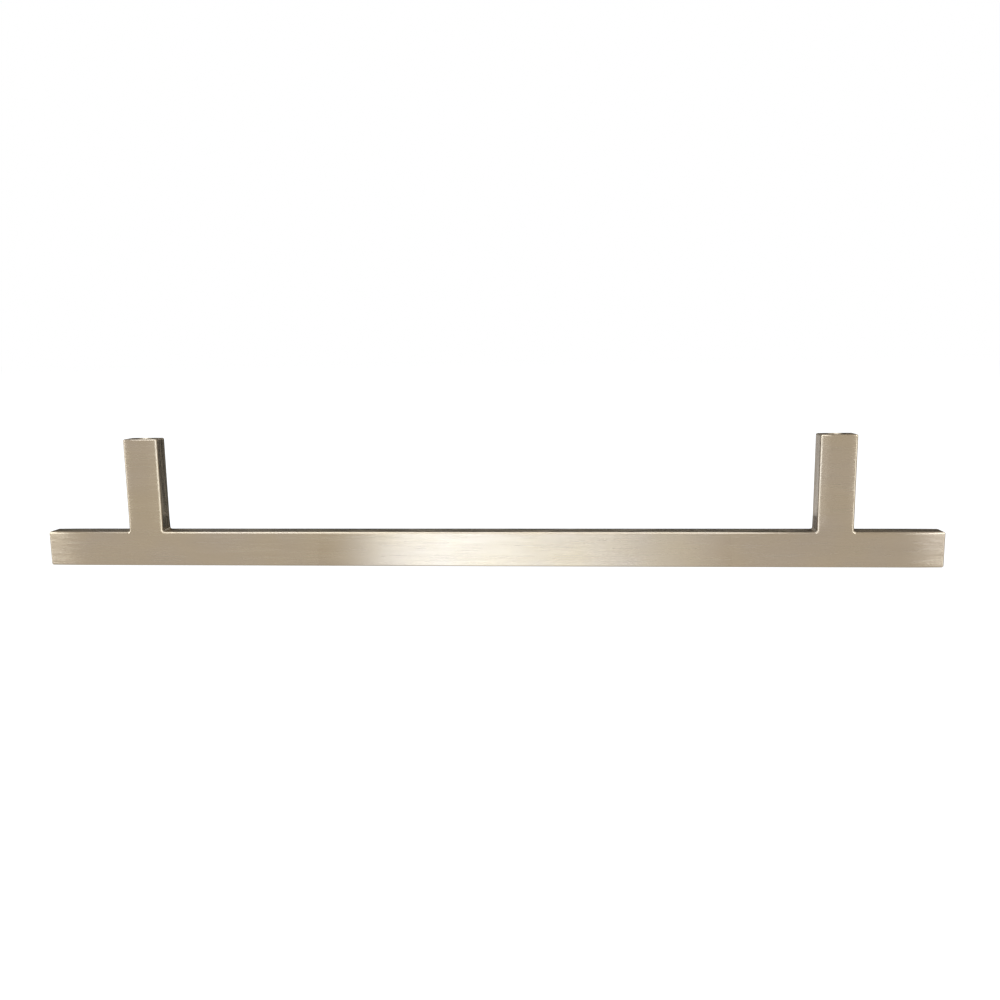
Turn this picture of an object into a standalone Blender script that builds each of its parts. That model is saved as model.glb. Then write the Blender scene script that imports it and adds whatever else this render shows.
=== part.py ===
"""Slim bar handle for a cabinet door, cast in one piece and brushed.

The handle stands on the outer face of its bar, as on a shelf: the bar runs
along X, the two posts rise along Z, and their cut ends lie against the door.
The origin is on the floor under the middle of the bar. Lengths are in metres.
"""

import math

import bmesh
import bpy
from mathutils import Matrix

for old in list(bpy.data.objects):
    bpy.data.objects.remove(old, do_unlink=True)

# Bar
BAR_LENGTH = 0.250
BAR_HEIGHT = 0.0098

# Bar and posts are flush with each other, front and back
DEPTH = 0.0060

# Posts
HOLE_SPACING = 0.192
POST_WIDTH = 0.0098
PROJECTION = 0.0362

# Rounded edges, inside corners, and the broken rim round each cut post end
EDGE_RADIUS = 0.0006
FILLET_RADIUS = 0.0005
RIM_WIDTH = 0.00025

# Blind screw hole in each post end, at the thread's core diameter
HOLE_DIAMETER = 0.0033
HOLE_DEPTH = 0.014
DRILL_POINT_ANGLE = math.radians(118)

# Countersunk mouth: its sloping ring reaches this far out from the hole's wall
MOUTH_WIDTH = 0.00075
MOUTH_ANGLE = math.radians(90)

# Facets on the rounded edges, the inside corners, the rims and the holes
EDGE_SEGMENTS = 5
FILLET_SEGMENTS = 5
RIM_SEGMENTS = 2
HOLE_SEGMENTS = 40

# Brushed nickel: linear colour, roughness, metallic value
NICKEL_COLOUR = (0.45, 0.385, 0.30, 1.0)
NICKEL_ROUGHNESS = 0.34
NICKEL_METALLIC = 1.0

# Two faces meet in a real corner when they turn by more than this angle
CORNER_ANGLE = math.radians(60)
# Faces that turn by less than this angle are one flat face
FLAT_ANGLE = math.radians(0.5)
# An edge sharper than this is shaded as an edge, the rest as one smooth surface
SHARP_ANGLE = math.radians(30)
# Two places nearer than this are the same place
SAME_PLACE = 1e-6
# A bevel with this profile is a true arc
ROUND_PROFILE = 0.5

POST_MIDDLES = (-HOLE_SPACING / 2, HOLE_SPACING / 2)
# Waste at the top of each post: the cut at the door takes the rounded end away with it
POST_WASTE = 3 * EDGE_RADIUS


def brushed_nickel():
    """The one finish of the whole handle."""
    material = bpy.data.materials.new("brushed_nickel")
    material.use_nodes = True
    shader = material.node_tree.nodes["Principled BSDF"]
    shader.inputs["Base Color"].default_value = NICKEL_COLOUR
    shader.inputs["Roughness"].default_value = NICKEL_ROUGHNESS
    shader.inputs["Metallic"].default_value = NICKEL_METALLIC
    return material


def cut(bm, place, normal, **cut_options):
    """Cut the whole mesh along a plane and return the new edges."""
    everything = bm.verts[:] + bm.edges[:] + bm.faces[:]
    result = bmesh.ops.bisect_plane(
        bm, geom=everything, dist=SAME_PLACE, plane_co=place, plane_no=normal, **cut_options
    )
    return [item for item in result["geom_cut"] if isinstance(item, bmesh.types.BMEdge)]


def is_post_foot(centre):
    """Tell whether a face with this centre lies on top of the bar, where a post stands."""
    on_top = abs(centre.z - BAR_HEIGHT) < SAME_PLACE
    return on_top and any(abs(centre.x - middle) < SAME_PLACE for middle in POST_MIDDLES)


def square_edged_body(bm, post_top):
    """A bar with two posts drawn up out of it, with every corner still sharp."""
    size = Matrix.Diagonal((BAR_LENGTH, DEPTH, BAR_HEIGHT, 1))
    bmesh.ops.create_cube(bm, size=1, matrix=Matrix.Translation((0, 0, BAR_HEIGHT / 2)) @ size)
    for middle in POST_MIDDLES:
        for side in (-1, 1):
            cut(bm, (middle + side * POST_WIDTH / 2, 0, 0), (1, 0, 0))
    feet = [face for face in bm.faces if is_post_foot(face.calc_center_median())]
    for foot in feet:
        raised = bmesh.ops.extrude_face_region(bm, geom=[foot])["geom"]
        corners = [item for item in raised if isinstance(item, bmesh.types.BMVert)]
        bmesh.ops.translate(bm, verts=corners, vec=(0, 0, post_top - BAR_HEIGHT))
        bmesh.ops.delete(bm, geom=[foot], context="FACES_ONLY")
    bmesh.ops.dissolve_limit(bm, angle_limit=FLAT_ANGLE, verts=bm.verts[:], edges=bm.edges[:])


def round_edges(bm, edges, radius, segments):
    """Round the given edges to one radius."""
    bmesh.ops.bevel(
        bm,
        geom=edges,
        offset=radius,
        offset_type="OFFSET",
        segments=segments,
        profile=ROUND_PROFILE,
        affect="EDGES",
        material=-1,
    )


def finished_mesh(bm, name):
    """Turn all faces outwards and shade the rounded ones smooth."""
    bmesh.ops.recalc_face_normals(bm, faces=bm.faces[:])
    mesh = bpy.data.meshes.new(name)
    bm.to_mesh(mesh)
    bm.free()
    mesh.shade_smooth()
    mesh.set_sharp_from_angle(angle=SHARP_ANGLE)
    return mesh


def cut_post_ends(bm):
    """Saw both posts off at the door and break the sharp rim that the cut leaves."""
    rim = cut(bm, (0, 0, PROJECTION), (0, 0, 1), clear_outer=True)
    bmesh.ops.holes_fill(bm, edges=rim, sides=0)
    round_edges(bm, rim, RIM_WIDTH, RIM_SEGMENTS)


def handle_mesh():
    """The cast body: sharp form, inside corners, rounded edges, cut post ends."""
    bm = bmesh.new()
    square_edged_body(bm, PROJECTION + POST_WASTE)
    bm.normal_update()
    inside_corners = [edge for edge in bm.edges if not edge.is_convex]
    round_edges(bm, inside_corners, FILLET_RADIUS, FILLET_SEGMENTS)
    bm.normal_update()
    outer_corners = [edge for edge in bm.edges if edge.calc_face_angle() > CORNER_ANGLE]
    round_edges(bm, outer_corners, EDGE_RADIUS, EDGE_SEGMENTS)
    cut_post_ends(bm)
    return finished_mesh(bm, "bar_handle")


def screw_hole_cutter(name, middle):
    """A turned cutter: drill point, straight core, sloping mouth and a length above the post."""
    core = HOLE_DIAMETER / 2
    mouth_slope = math.tan(MOUTH_ANGLE / 2)
    mouth_depth = MOUTH_WIDTH / mouth_slope
    point_depth = core / math.tan(DRILL_POINT_ANGLE / 2)
    above = mouth_depth
    profile = (
        (0, PROJECTION - HOLE_DEPTH - point_depth),
        (core, PROJECTION - HOLE_DEPTH),
        (core, PROJECTION - mouth_depth),
        (core + (mouth_depth + above) * mouth_slope, PROJECTION + above),
        (0, PROJECTION + above),
    )
    bm = bmesh.new()
    points = [bm.verts.new((radius, 0, height)) for radius, height in profile]
    edges = [bm.edges.new(pair) for pair in zip(points, points[1:])]
    bmesh.ops.spin(
        bm,
        geom=points + edges,
        cent=(0, 0, 0),
        axis=(0, 0, 1),
        angle=math.tau,
        steps=HOLE_SEGMENTS,
        use_merge=True,
    )
    bmesh.ops.remove_doubles(bm, verts=bm.verts[:], dist=SAME_PLACE)
    bmesh.ops.translate(bm, verts=bm.verts[:], vec=(middle, 0, 0))
    cutter = bpy.data.objects.new(name, finished_mesh(bm, name))
    cutter.hide_render = True
    cutter.display_type = "WIRE"
    bpy.context.collection.objects.link(cutter)
    return cutter


def bar_handle():
    """The whole handle, with a screw hole in each post end."""
    handle = bpy.data.objects.new("bar_handle", handle_mesh())
    handle.data.materials.append(brushed_nickel())
    bpy.context.collection.objects.link(handle)
    for name, middle in zip(("left_hole_cutter", "right_hole_cutter"), POST_MIDDLES):
        drill = handle.modifiers.new(name, "BOOLEAN")
        drill.operation = "DIFFERENCE"
        drill.solver = "EXACT"
        drill.object = screw_hole_cutter(name, middle)


bar_handle()
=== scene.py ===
"""Slim bar handle in brushed nickel, standing on the outer face of its bar.

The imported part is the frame: +X runs along the bar, +Y from the near flush side to the
far one, +Z up the two posts to their cut ends. All lengths are in metres.
"""

import math

import bmesh
import bpy
from mathutils import Matrix, Vector


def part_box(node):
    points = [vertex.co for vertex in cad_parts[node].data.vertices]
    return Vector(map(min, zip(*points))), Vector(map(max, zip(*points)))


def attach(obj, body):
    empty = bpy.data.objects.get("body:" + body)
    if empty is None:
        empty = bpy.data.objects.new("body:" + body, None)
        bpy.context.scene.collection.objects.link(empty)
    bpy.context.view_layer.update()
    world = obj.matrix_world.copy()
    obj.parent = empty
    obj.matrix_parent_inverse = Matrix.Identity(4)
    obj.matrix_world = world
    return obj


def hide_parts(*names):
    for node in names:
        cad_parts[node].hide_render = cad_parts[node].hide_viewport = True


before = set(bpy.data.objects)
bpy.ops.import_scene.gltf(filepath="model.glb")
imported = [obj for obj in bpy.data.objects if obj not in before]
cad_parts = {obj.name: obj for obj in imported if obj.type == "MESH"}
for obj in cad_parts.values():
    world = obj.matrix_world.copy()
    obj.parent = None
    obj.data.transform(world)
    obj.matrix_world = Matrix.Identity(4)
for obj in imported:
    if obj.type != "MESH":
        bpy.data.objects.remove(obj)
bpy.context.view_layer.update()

# Camera
# It stands close, a little right of the middle and above the bar, and looks slightly left
# and down at the near flush side of the handle.
CAMERA_PLACE = (0.02320, -0.24907, 0.05722)
CAMERA_TURN_LEFT = math.radians(4.16)
CAMERA_TILT_DOWN = math.radians(8.85)
CAMERA_ROLL = math.radians(0.76)
CAMERA_LENS = 32.65

camera_data = bpy.data.cameras.new("camera")
camera_data.lens = CAMERA_LENS
camera_data.clip_start = 0.01
camera = bpy.data.objects.new("camera", camera_data)
camera.matrix_world = (
    Matrix.Translation(CAMERA_PLACE)
    @ Matrix.Rotation(CAMERA_TURN_LEFT, 4, "Z")
    @ Matrix.Rotation(math.radians(90) - CAMERA_TILT_DOWN, 4, "X")
    @ Matrix.Rotation(-CAMERA_ROLL, 4, "Z")
)
bpy.context.scene.collection.objects.link(camera)
bpy.context.scene.camera = camera
bpy.context.scene.view_settings.view_transform = "Standard"


# Cast body
# Bar and posts are one zinc casting, plated with nickel. It is linished square on a belt,
# which leaves fine straight lines and draws the faces down a little towards their edges.
def new_group(name, inputs, outputs):
    """An empty node group with these sockets, each a name and a kind."""
    group = bpy.data.node_groups.new(name, "ShaderNodeTree")
    for socket, kind in inputs:
        group.interface.new_socket(socket, in_out="INPUT", socket_type=kind)
    for socket, kind in outputs:
        group.interface.new_socket(socket, in_out="OUTPUT", socket_type=kind)
    return group, group.nodes.new("NodeGroupInput"), group.nodes.new("NodeGroupOutput")


NOISE_MEAN = 0.5
NOISE_MIDDLE = (0.3, 0.7)
# A face looks sideways, or is flat, where a part of its normal along an axis passes these
SIDEWAYS_FROM = 0.7
EDGE_UP_TO, FLAT_FROM = 0.985, 0.999


def brushed_surface_group():
    """Fine lines along the bar, or up the faces that look sideways, with bands and stains."""
    group, given, made = new_group(
        "brushed_surface",
        [
            ("Place", "NodeSocketVector"),
            ("Facing", "NodeSocketVector"),
            ("Line Scale", "NodeSocketVector"),
            ("Band Scale", "NodeSocketVector"),
            ("Stain Scale", "NodeSocketVector"),
        ],
        [
            ("Lines", "NodeSocketFloat"),
            ("Bands", "NodeSocketFloat"),
            ("Stains", "NodeSocketFloat"),
            ("Flat", "NodeSocketFloat"),
            ("Grooves", "NodeSocketFloat"),
        ],
    )
    link = group.links.new

    def arithmetic(operation, first, second):
        """One sum on two values, each a socket or a number."""
        node = group.nodes.new("ShaderNodeMath")
        node.operation = operation
        for socket, value in zip(node.inputs, (first, second)):
            if isinstance(value, float):
                socket.default_value = value
            else:
                link(value, socket)
        return node.outputs["Value"]

    looks = group.nodes.new("ShaderNodeVectorMath")
    looks.operation = "ABSOLUTE"
    sides = group.nodes.new("ShaderNodeSeparateXYZ")
    link(given.outputs["Facing"], looks.inputs[0])
    link(looks.outputs["Vector"], sides.inputs["Vector"])

    # On a sideways face the lines run up, so height takes the place of length
    across = group.nodes.new("ShaderNodeSeparateXYZ")
    upright = group.nodes.new("ShaderNodeCombineXYZ")
    grain = group.nodes.new("ShaderNodeMix")
    grain.data_type = "VECTOR"
    link(given.outputs["Place"], across.inputs["Vector"])
    for source, target in (("X", "Z"), ("Y", "Y"), ("Z", "X")):
        link(across.outputs[source], upright.inputs[target])
    link(arithmetic("GREATER_THAN", sides.outputs["X"], SIDEWAYS_FROM), grain.inputs["Factor"])
    link(given.outputs["Place"], grain.inputs["A"])
    link(upright.outputs["Vector"], grain.inputs["B"])

    for place, scale_name, out_name in (
        (grain.outputs["Result"], "Line Scale", "Lines"),
        (grain.outputs["Result"], "Band Scale", "Bands"),
        (given.outputs["Place"], "Stain Scale", "Stains"),
    ):
        stretched = group.nodes.new("ShaderNodeVectorMath")
        stretched.operation = "MULTIPLY"
        noise = group.nodes.new("ShaderNodeTexNoise")
        noise.inputs["Scale"].default_value = 1.0
        link(place, stretched.inputs[0])
        link(given.outputs[scale_name], stretched.inputs[1])
        link(stretched.outputs["Vector"], noise.inputs["Vector"])
        link(noise.outputs["Fac"], made.inputs[out_name])
        if out_name == "Lines":
            centred = arithmetic("SUBTRACT", noise.outputs["Fac"], NOISE_MEAN)

    # The edges are polished round, so the lines die out towards them
    squarest = arithmetic("MAXIMUM", sides.outputs["Y"], sides.outputs["Z"])
    flat = group.nodes.new("ShaderNodeMapRange")
    flat.inputs["From Min"].default_value = EDGE_UP_TO
    flat.inputs["From Max"].default_value = FLAT_FROM
    link(arithmetic("MAXIMUM", squarest, sides.outputs["X"]), flat.inputs["Value"])
    link(flat.outputs["Result"], made.inputs["Flat"])
    link(arithmetic("MULTIPLY", centred, flat.outputs["Result"]), made.inputs["Grooves"])
    return group


BRUSHED_SURFACE = brushed_surface_group()

# The lines run along X, tipped up a little so that the bar's end faces have a direction too
LINE_DIRECTION = (1.0, 0.0, 0.03)


def brushed_metal(name, colours, tint, roughness, spread, edge_roughness, anisotropy, scales, depth):
    """Metal with brushed lines: they vary its roughness and cut into it, and bands tint it."""
    material = bpy.data.materials.new(name)
    material.use_nodes = True
    nodes, link = material.node_tree.nodes, material.node_tree.links.new
    shader = nodes["Principled BSDF"]
    shader.inputs["Metallic"].default_value = 1.0
    shader.inputs["Anisotropic"].default_value = anisotropy

    place = nodes.new("ShaderNodeTexCoord")
    surface = nodes.new("ShaderNodeGroup")
    surface.node_tree = BRUSHED_SURFACE
    for socket, scale in zip(("Line Scale", "Band Scale", "Stain Scale"), scales):
        surface.inputs[socket].default_value = scale
    link(place.outputs["Object"], surface.inputs["Place"])
    link(place.outputs["Normal"], surface.inputs["Facing"])

    def ranged(source, lowest, highest):
        """The middle of a noise's range, stretched between two values."""
        node = nodes.new("ShaderNodeMapRange")
        node.inputs["From Min"].default_value, node.inputs["From Max"].default_value = NOISE_MIDDLE
        node.inputs["To Min"].default_value = lowest
        node.inputs["To Max"].default_value = highest
        link(surface.outputs[source], node.inputs["Value"])
        return node.outputs["Result"]

    stained = nodes.new("ShaderNodeMix")
    stained.data_type = "VECTOR"
    stained.inputs["A"].default_value, stained.inputs["B"].default_value = colours
    tinted = nodes.new("ShaderNodeVectorMath")
    tinted.operation = "SCALE"
    link(ranged("Stains", 0.0, 1.0), stained.inputs["Factor"])
    link(stained.outputs["Result"], tinted.inputs[0])
    link(ranged("Bands", 1 - tint, 1 + tint), tinted.inputs["Scale"])
    link(tinted.outputs["Vector"], shader.inputs["Base Color"])

    dull = nodes.new("ShaderNodeMix")
    dull.inputs["A"].default_value = edge_roughness
    link(surface.outputs["Flat"], dull.inputs["Factor"])
    link(ranged("Lines", roughness - spread, roughness + spread), dull.inputs["B"])
    link(dull.outputs["Result"], shader.inputs["Roughness"])

    grooves = nodes.new("ShaderNodeBump")
    grooves.inputs["Strength"].default_value = 1.0
    grooves.inputs["Distance"].default_value = depth
    link(surface.outputs["Grooves"], grooves.inputs["Height"])
    link(grooves.outputs["Normal"], shader.inputs["Normal"])

    # The highlight spreads across the lines, square to them and to the surface
    facing = nodes.new("ShaderNodeNewGeometry")
    across = nodes.new("ShaderNodeVectorMath")
    across.operation = "CROSS_PRODUCT"
    across.inputs[1].default_value = LINE_DIRECTION
    link(facing.outputs["Normal"], across.inputs[0])
    link(across.outputs["Vector"], shader.inputs["Tangent"])
    return material


BAR_HEIGHT = 0.0098
POST_WIDTH = 0.0098
HOLE_SPACING = 0.192
EDGE_RADIUS = 0.0006
FILLET_RADIUS = 0.0005
RIM_WIDTH = 0.00045
# The belt draws the faces down over these reaches from an edge, by these depths at the edge
END_REACH = 0.0125
END_DROP = 0.00038
POST_REACH = 0.0032
OUTER_DROP = 0.00012
INNER_DROP = 0.00024
FOOT_REACH = 0.003
EASE_STEPS = 6
# The post starts too long by this, so that the cut at the door takes its rounded end away
POST_WASTE = 3 * EDGE_RADIUS
EDGE_SEGMENTS = 12
FILLET_SEGMENTS = 12
RIM_SEGMENTS = 6
SAME_PLACE = 1e-6
CORNER_ANGLE = math.radians(60)
SHARP_ANGLE = math.radians(35)
FLAT_ANGLE = math.radians(1)
ROUND_PROFILE = 0.5
POST_MIDDLES = (-HOLE_SPACING / 2, HOLE_SPACING / 2)

low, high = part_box("bar_handle")
door_plane = high.z

brushed_nickel = brushed_metal(
    "brushed_nickel",
    colours=((0.333, 0.268, 0.196), (0.346, 0.274, 0.184)),
    tint=0.02,
    roughness=0.24,
    spread=0.057,
    edge_roughness=0.29,
    anisotropy=1.0,
    scales=((80, 2100, 2100), (30, 260, 260), (60, 90, 90)),
    depth=1.6e-5,
)


def cut(bm, place, normal, **cut_options):
    """Cut the whole mesh along a plane and return the new edges."""
    result = bmesh.ops.bisect_plane(
        bm,
        geom=bm.verts[:] + bm.edges[:] + bm.faces[:],
        dist=SAME_PLACE,
        plane_co=place,
        plane_no=normal,
        **cut_options,
    )
    return [item for item in result["geom_cut"] if isinstance(item, bmesh.types.BMEdge)]


def round_edges(bm, edges, radius, segments):
    """Round the given edges to one radius."""
    bm.normal_update()
    bmesh.ops.bevel(
        bm,
        geom=edges,
        offset=radius,
        offset_type="OFFSET",
        segments=segments,
        profile=ROUND_PROFILE,
        affect="EDGES",
        material=-1,
    )


def is_post_foot(centre):
    """Tell whether a face with this centre lies on top of the bar, where a post stands."""
    on_top = abs(centre.z - BAR_HEIGHT) < SAME_PLACE
    return on_top and any(abs(centre.x - middle) < SAME_PLACE for middle in POST_MIDDLES)


def drawn_down(inward, reach, drop):
    """How far the belt has drawn a face down, at a place this far in from its edge."""
    return drop * min(max(1 - inward / reach, 0), 1) ** 2


body = bmesh.new()
bar_size = Matrix.Diagonal((high.x - low.x, high.y - low.y, BAR_HEIGHT, 1))
bmesh.ops.create_cube(body, size=1, matrix=Matrix.Translation((0, 0, BAR_HEIGHT / 2)) @ bar_size)
for middle in POST_MIDDLES:
    for side in (-1, 1):
        cut(body, (middle + side * POST_WIDTH / 2, 0, 0), (1, 0, 0))
for foot in [face for face in body.faces if is_post_foot(face.calc_center_median())]:
    raised = bmesh.ops.extrude_face_region(body, geom=[foot])["geom"]
    corners = [item for item in raised if isinstance(item, bmesh.types.BMVert)]
    bmesh.ops.translate(body, verts=corners, vec=(0, 0, door_plane + POST_WASTE - BAR_HEIGHT))
    bmesh.ops.delete(body, geom=[foot], context="FACES_ONLY")
bmesh.ops.dissolve_limit(body, angle_limit=FLAT_ANGLE, verts=body.verts[:], edges=body.edges[:])
body.normal_update()
round_edges(body, [edge for edge in body.edges if not edge.is_convex], FILLET_RADIUS, FILLET_SEGMENTS)
body.normal_update()
corners = [edge for edge in body.edges if edge.calc_face_angle() > CORNER_ANGLE]
round_edges(body, corners, EDGE_RADIUS, EDGE_SEGMENTS)
rim = cut(body, (0, 0, door_plane), (0, 0, 1), clear_outer=True)
bmesh.ops.holes_fill(body, edges=rim, sides=0)
round_edges(body, rim, RIM_WIDTH, RIM_SEGMENTS)

# Loops where the faces are drawn down: across the bar's ends, and up and across the posts
for side in (-1, 1):
    for step in range(1, EASE_STEPS + 1):
        inward = EDGE_RADIUS + (END_REACH - EDGE_RADIUS) * step / EASE_STEPS
        cut(body, (side * (high.x - inward), 0, 0), (1, 0, 0))
for middle in POST_MIDDLES:
    for side in (-1, 1):
        for step in range(1, EASE_STEPS + 1):
            inward = EDGE_RADIUS + (POST_REACH - EDGE_RADIUS) * step / EASE_STEPS
            cut(body, (middle + side * (POST_WIDTH / 2 - inward), 0, 0), (1, 0, 0))
for step in range(1, EASE_STEPS + 1):
    cut(body, (0, 0, BAR_HEIGHT + FOOT_REACH * step / EASE_STEPS), (0, 0, 1))
for point in body.verts:
    middle = math.copysign(HOLE_SPACING / 2, point.co.x)
    up = min(max((point.co.z - BAR_HEIGHT) / FOOT_REACH, 0), 1)
    drop = drawn_down(high.x - abs(point.co.x), END_REACH, END_DROP)
    post_drop = OUTER_DROP if abs(point.co.x) > abs(middle) else INNER_DROP
    drop += up * drawn_down(POST_WIDTH / 2 - abs(point.co.x - middle), POST_REACH, post_drop)
    point.co.y *= 1 - drop / high.y
bmesh.ops.recalc_face_normals(body, faces=body.faces[:])

handle_mesh = bpy.data.meshes.new("handle")
body.to_mesh(handle_mesh)
body.free()
handle_mesh.materials.append(brushed_nickel)
handle = bpy.data.objects.new("handle", handle_mesh)
bpy.context.scene.collection.objects.link(handle)


# Tapped holes
# Each post end is drilled, countersunk and tapped for an M4 screw, before the plating. The
# thread runs down the hole, and the drill's cone closes it.
THREAD_DIAMETER = 0.0040
THREAD_PITCH = 0.0007
THREAD_DEPTH = 0.012
THREAD_FLANK_ANGLE = math.radians(30)
# The tap is longer than the thread by these turns, and stands this far out of the post
SPARE_TURNS = 3
TAP_ABOVE = THREAD_PITCH / 3
HOLE_DIAMETER = 0.0033
HOLE_DEPTH = 0.014
DRILL_POINT_ANGLE = math.radians(118)
MOUTH_WIDTH = 0.00075
THREAD_CREST = THREAD_PITCH / 8
HOLE_SEGMENTS = 48
DRILL_CLEARANCE = 0.00001

tapped_metal = brushed_metal(
    "tapped_metal",
    colours=((0.34, 0.28, 0.205), (0.35, 0.285, 0.20)),
    tint=0.06,
    roughness=0.3,
    spread=0.04,
    edge_roughness=0.3,
    anisotropy=0.0,
    scales=((900, 900, 5000), (300, 300, 300), (200, 200, 200)),
    depth=1.0e-6,
)


def turned(bm, profile, steps, angle=math.tau, rise=0.0):
    """Spin a profile of (radius, height) points round Z, rising at each step for a thread."""
    points = [bm.verts.new((radius, 0, height)) for radius, height in profile]
    edges = [bm.edges.new(pair) for pair in zip(points, points[1:])]
    bmesh.ops.spin(
        bm,
        geom=points + edges,
        cent=(0, 0, 0),
        axis=(0, 0, 1),
        dvec=(0, 0, rise),
        angle=angle,
        steps=steps,
        use_merge=rise == 0.0,
    )
    bmesh.ops.remove_doubles(bm, verts=bm.verts[:], dist=SAME_PLACE)


def cutter(name, bm, middle):
    """Finish a cutter's mesh, put it on a post's axis and hand back its object."""
    bmesh.ops.recalc_face_normals(bm, faces=bm.faces[:])
    bmesh.ops.translate(bm, verts=bm.verts[:], vec=(middle, 0, 0))
    mesh = bpy.data.meshes.new(name)
    bm.to_mesh(mesh)
    bm.free()
    mesh.materials.append(tapped_metal)
    tool = bpy.data.objects.new(name, mesh)
    bpy.context.scene.collection.objects.link(tool)
    return tool


def drill(middle):
    """The drill and countersink as one turned cutter."""
    core = HOLE_DIAMETER / 2 - DRILL_CLEARANCE
    point = core / math.tan(DRILL_POINT_ANGLE / 2)
    bottom = door_plane - HOLE_DEPTH
    bm = bmesh.new()
    turned(
        bm,
        (
            (0, bottom - point),
            (core, bottom),
            (core, door_plane - MOUTH_WIDTH),
            (core + 2 * MOUTH_WIDTH, door_plane + MOUTH_WIDTH),
            (0, door_plane + MOUTH_WIDTH),
        ),
        HOLE_SEGMENTS,
    )
    return cutter("drill", bm, middle)


def tap(middle):
    """The thread as a turned cutter: one pitch of its profile, spun up past the post's end."""
    core = HOLE_DIAMETER / 2
    flank = (THREAD_DIAMETER - HOLE_DIAMETER) / 2 * math.tan(THREAD_FLANK_ANGLE)
    turns = math.ceil(THREAD_DEPTH / THREAD_PITCH) + SPARE_TURNS
    start = door_plane - THREAD_DEPTH - THREAD_PITCH
    bm = bmesh.new()
    turned(
        bm,
        (
            (core, start),
            (THREAD_DIAMETER / 2, start + flank),
            (THREAD_DIAMETER / 2, start + flank + THREAD_CREST),
            (core, start + 2 * flank + THREAD_CREST),
            (core, start + THREAD_PITCH),
        ),
        HOLE_SEGMENTS * turns,
        angle=math.tau * turns,
        rise=THREAD_PITCH / HOLE_SEGMENTS,
    )
    for height, side in ((door_plane - THREAD_DEPTH, -1), (door_plane + TAP_ABOVE, 1)):
        end = cut(bm, (0, 0, height), (0, 0, side), clear_outer=True)
        bmesh.ops.holes_fill(bm, edges=end, sides=0)
    return cutter("tap", bm, middle)


tools = [make(middle) for middle in POST_MIDDLES for make in (drill, tap)]
for tool in tools:
    bore = handle.modifiers.new(tool.name, "BOOLEAN")
    bore.operation = "DIFFERENCE"
    bore.solver = "EXACT"
    bore.material_mode = "TRANSFER"
    bore.object = tool
bored = bpy.data.meshes.new_from_object(handle.evaluated_get(bpy.context.evaluated_depsgraph_get()))
handle.modifiers.clear()
handle.data = bored
for tool in tools:
    bpy.data.objects.remove(tool, do_unlink=True)

# The cuts leave a few points almost on top of each other
body = bmesh.new()
body.from_mesh(bored)
bmesh.ops.remove_doubles(body, verts=body.verts[:], dist=SAME_PLACE / 10)
body.to_mesh(bored)
body.free()

handle.data.shade_smooth()
handle.data.set_sharp_from_angle(angle=SHARP_ANGLE)
flatten = handle.modifiers.new("flatten", "WEIGHTED_NORMAL")
flatten.keep_sharp = True
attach(handle, "root")
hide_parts("bar_handle")


# Table and studio
# A pale table under a white room, with soft boxes in front, at both sides and overhead.
# Dark cards stand behind, so that the faces that look back read darker than the front.
def facing_bar(place):
    """The matrix of something at this place that faces the bar's middle, its width level."""
    back = Vector(place).normalized()
    along = (Vector((1, 0, 0)) - back * back.x).normalized()
    turn = Matrix((along, back.cross(along), back)).transposed().to_4x4()
    return Matrix.Translation(place) @ turn


def studio_plane(name, width, height, matrix, material):
    """A rectangle in its own XY plane, put in place by a matrix."""
    bm = bmesh.new()
    size = Matrix.Diagonal((width, height, 1, 1))
    bmesh.ops.create_grid(bm, x_segments=1, y_segments=1, size=0.5, matrix=matrix @ size)
    mesh = bpy.data.meshes.new(name)
    bm.to_mesh(mesh)
    bm.free()
    mesh.materials.append(material)
    plane = bpy.data.objects.new(name, mesh)
    bpy.context.scene.collection.objects.link(plane)
    return plane


def plain_nodes(name):
    """A material with only its output, and its node tree."""
    material = bpy.data.materials.new(name)
    material.use_nodes = True
    material.node_tree.nodes.remove(material.node_tree.nodes["Principled BSDF"])
    return material, material.node_tree.nodes, material.node_tree.links.new


world = bpy.data.worlds.new("white_room")
world.use_nodes = True
world.node_tree.nodes["Background"].inputs["Color"].default_value = (1, 1, 1, 1)
world.node_tree.nodes["Background"].inputs["Strength"].default_value = 1.0
bpy.context.scene.world = world

# The table is white to the camera and in the metal, apart from a share that shows shadows. It
# lies just under the bar.
TABLE_GLOW = 0.85
TABLE_SIZE = 20
TABLE_GAP = 0.00002
table_white, table_nodes, table_link = plain_nodes("table_white")
matt = table_nodes.new("ShaderNodeBsdfDiffuse")
matt.inputs["Color"].default_value = (1, 1, 1, 1)
glow = table_nodes.new("ShaderNodeEmission")
rays = table_nodes.new("ShaderNodeLightPath")
seen = table_nodes.new("ShaderNodeMath")
seen.operation = "MAXIMUM"
seen_share = table_nodes.new("ShaderNodeMath")
seen_share.operation = "MULTIPLY"
seen_share.inputs[1].default_value = TABLE_GLOW
white_out = table_nodes.new("ShaderNodeMixShader")
table_link(rays.outputs["Is Camera Ray"], seen.inputs[0])
table_link(rays.outputs["Is Glossy Ray"], seen.inputs[1])
table_link(seen.outputs["Value"], seen_share.inputs[0])
table_link(seen_share.outputs["Value"], white_out.inputs["Fac"])
table_link(matt.outputs["BSDF"], white_out.inputs[1])
table_link(glow.outputs["Emission"], white_out.inputs[2])
table_link(white_out.outputs["Shader"], table_nodes["Material Output"].inputs["Surface"])
studio_plane("table", TABLE_SIZE, TABLE_SIZE, Matrix.Translation((0, 0, -TABLE_GAP)), table_white)


def glowing(name, colour, strength):
    """A plain material that gives off light."""
    material, nodes, link = plain_nodes(name)
    glow = nodes.new("ShaderNodeEmission")
    glow.inputs["Color"].default_value = (*colour, 1)
    glow.inputs["Strength"].default_value = strength
    link(glow.outputs["Emission"], nodes["Material Output"].inputs["Surface"])
    return material


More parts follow.
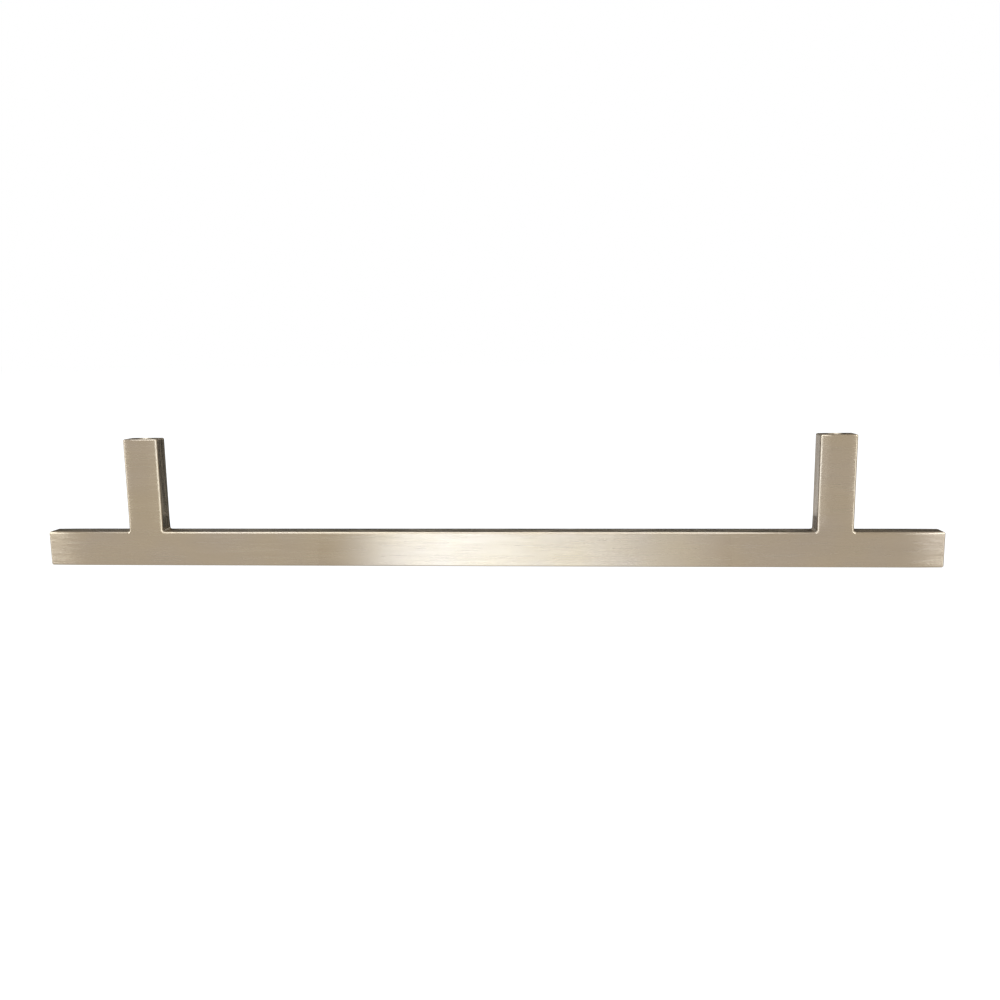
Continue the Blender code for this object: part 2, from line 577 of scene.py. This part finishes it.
def show_only_in_metal(plane):
    """Leave a plane visible to reflections alone."""
    plane.visible_camera = plane.visible_diffuse = plane.visible_shadow = False
    plane.visible_transmission = plane.visible_volume_scatter = False


# The two low foot cards just behind the bar are painted shade: seen only in the metal, they darken the
# feet of the posts' inner sides, the left one much more than the right.
for name, place, width, height, grey in (
    ("tall_card", (-0.225, 1.0, 1.42), 1.95, 3.0, 0.02),
    ("low_card", (-0.03, 0.08, 0.03), 0.13, 0.06, 0.02),
    ("left_foot_shade_card", (-0.075, 0.03, 0.0043), 0.15, 0.0086, 0.02),
    ("right_foot_shade_card", (0.075, 0.03, 0.0043), 0.15, 0.0086, 0.25),
):
    upright = Matrix.Translation(place) @ Matrix.Rotation(math.radians(90), 4, "X")
    show_only_in_metal(studio_plane(name, width, height, upright, glowing(name, (1, 1, 1), grey)))

# A strip of light lies on the table in front of the bar, whose front face mirrors it between
# these places. It adds to the table's own light, grows to a peak and fades to the right, and
# its sides run out as the mirrored lines of sight do. It starts a little under the bar.
STRIP_START = -0.0464
STRIP_RISEN = -0.0092
STRIP_PEAK = -0.0075
STRIP_END = 0.0685
STRIP_LENGTH = 0.86
STRIP_TUCK = 0.001
STRIP_HEIGHT = 0.0003
STRIP_RADIANCE = (1.96, 2.58, 3.57)
TABLE_RADIANCE = (1.09, 1.10, 1.12)
FRONT_FACE = -0.003

strip_light, strip_nodes, strip_link = plain_nodes("strip_light")


def strip_value(kind, settings, *sources):
    """One node of the strip's light, with its settings and what feeds it."""
    node = strip_nodes.new(kind)
    for name, value in settings.items():
        if hasattr(node, name):
            setattr(node, name, value)
        else:
            node.inputs[name].default_value = value
    for socket, source in zip(node.inputs, sources):
        if isinstance(source, float):
            socket.default_value = source
        else:
            strip_link(source, socket)
    return node.outputs[0]


on_table = strip_nodes.new("ShaderNodeSeparateXYZ")
strip_link(strip_nodes.new("ShaderNodeTexCoord").outputs["Object"], on_table.inputs["Vector"])
out_from_bar = strip_value(
    "ShaderNodeMapRange",
    {"clamp": False, "From Min": FRONT_FACE, "From Max": CAMERA_PLACE[1]},
    on_table.outputs["Y"],
)
swung = strip_value(
    "ShaderNodeMath", {"operation": "MULTIPLY_ADD"}, out_from_bar, CAMERA_PLACE[0], on_table.outputs["X"]
)
along_bar = strip_value(
    "ShaderNodeMath",
    {"operation": "DIVIDE"},
    swung,
    strip_value("ShaderNodeMath", {"operation": "ADD"}, out_from_bar, 1.0),
)
rise = strip_value(
    "ShaderNodeMapRange",
    {"interpolation_type": "SMOOTHSTEP", "From Min": STRIP_START, "From Max": STRIP_RISEN},
    along_bar,
)
fall = strip_value(
    "ShaderNodeMapRange",
    {"From Min": STRIP_PEAK, "From Max": STRIP_END, "To Min": 1.0, "To Max": 0.0},
    along_bar,
)
strip_glow = strip_nodes.new("ShaderNodeEmission")
strip_colour = strip_nodes.new("ShaderNodeVectorMath")
strip_colour.operation = "MULTIPLY_ADD"
strip_colour.inputs[1].default_value = STRIP_RADIANCE
strip_colour.inputs[2].default_value = TABLE_RADIANCE
strip_link(strip_value("ShaderNodeMath", {"operation": "MULTIPLY"}, rise, fall), strip_colour.inputs[0])
strip_link(strip_colour.outputs["Vector"], strip_glow.inputs["Color"])
strip_link(strip_glow.outputs["Emission"], strip_nodes["Material Output"].inputs["Surface"])

middle = ((STRIP_START + STRIP_END) / 2, FRONT_FACE + STRIP_TUCK - STRIP_LENGTH / 2, STRIP_HEIGHT)
strip = studio_plane(
    "table_strip", STRIP_END - STRIP_START, STRIP_LENGTH, Matrix.Translation(middle), strip_light
)
show_only_in_metal(strip)
for corner in strip.data.vertices:
    out = (corner.co.y - FRONT_FACE) / (CAMERA_PLACE[1] - FRONT_FACE)
    corner.co.x += (corner.co.x - CAMERA_PLACE[0]) * out

SOFTBOX_COLOUR = (0.80, 0.93, 1.12)


def softbox(name, place, width, height, radiance):
    """A soft box that faces the bar, with its radiance as a multiple of the white room's."""
    data = bpy.data.lights.new(name, "AREA")
    data.shape = "RECTANGLE"
    data.size = width
    data.size_y = height
    data.color = SOFTBOX_COLOUR
    data.energy = radiance * math.pi * width * height
    lamp = bpy.data.objects.new(name, data)
    lamp.matrix_world = facing_bar(place)
    lamp.visible_camera = False
    bpy.context.scene.collection.objects.link(lamp)


softbox("left_softbox", (-1.95, -1.14, 0.82), 1.5, 1.5, 8.0)
softbox("right_softbox", (1.66, -1.50, 0.82), 1.5, 1.5, 7.5)
softbox("left_overhead_softbox", (-0.695, -0.80, 1.71), 0.62, 1.2, 6.5)
softbox("right_overhead_softbox", (0.05, -0.80, 1.71), 0.9, 1.2, 6.0)
softbox("front_softbox", (-0.133, -0.86, 0.032), 0.164, 0.06, 10.5)
softbox("front_fill", (0.020, -0.86, 0.032), 0.143, 0.06, 7.0)
softbox("front_far_fill", (0.159, -0.86, 0.032), 0.134, 0.06, 1.2)
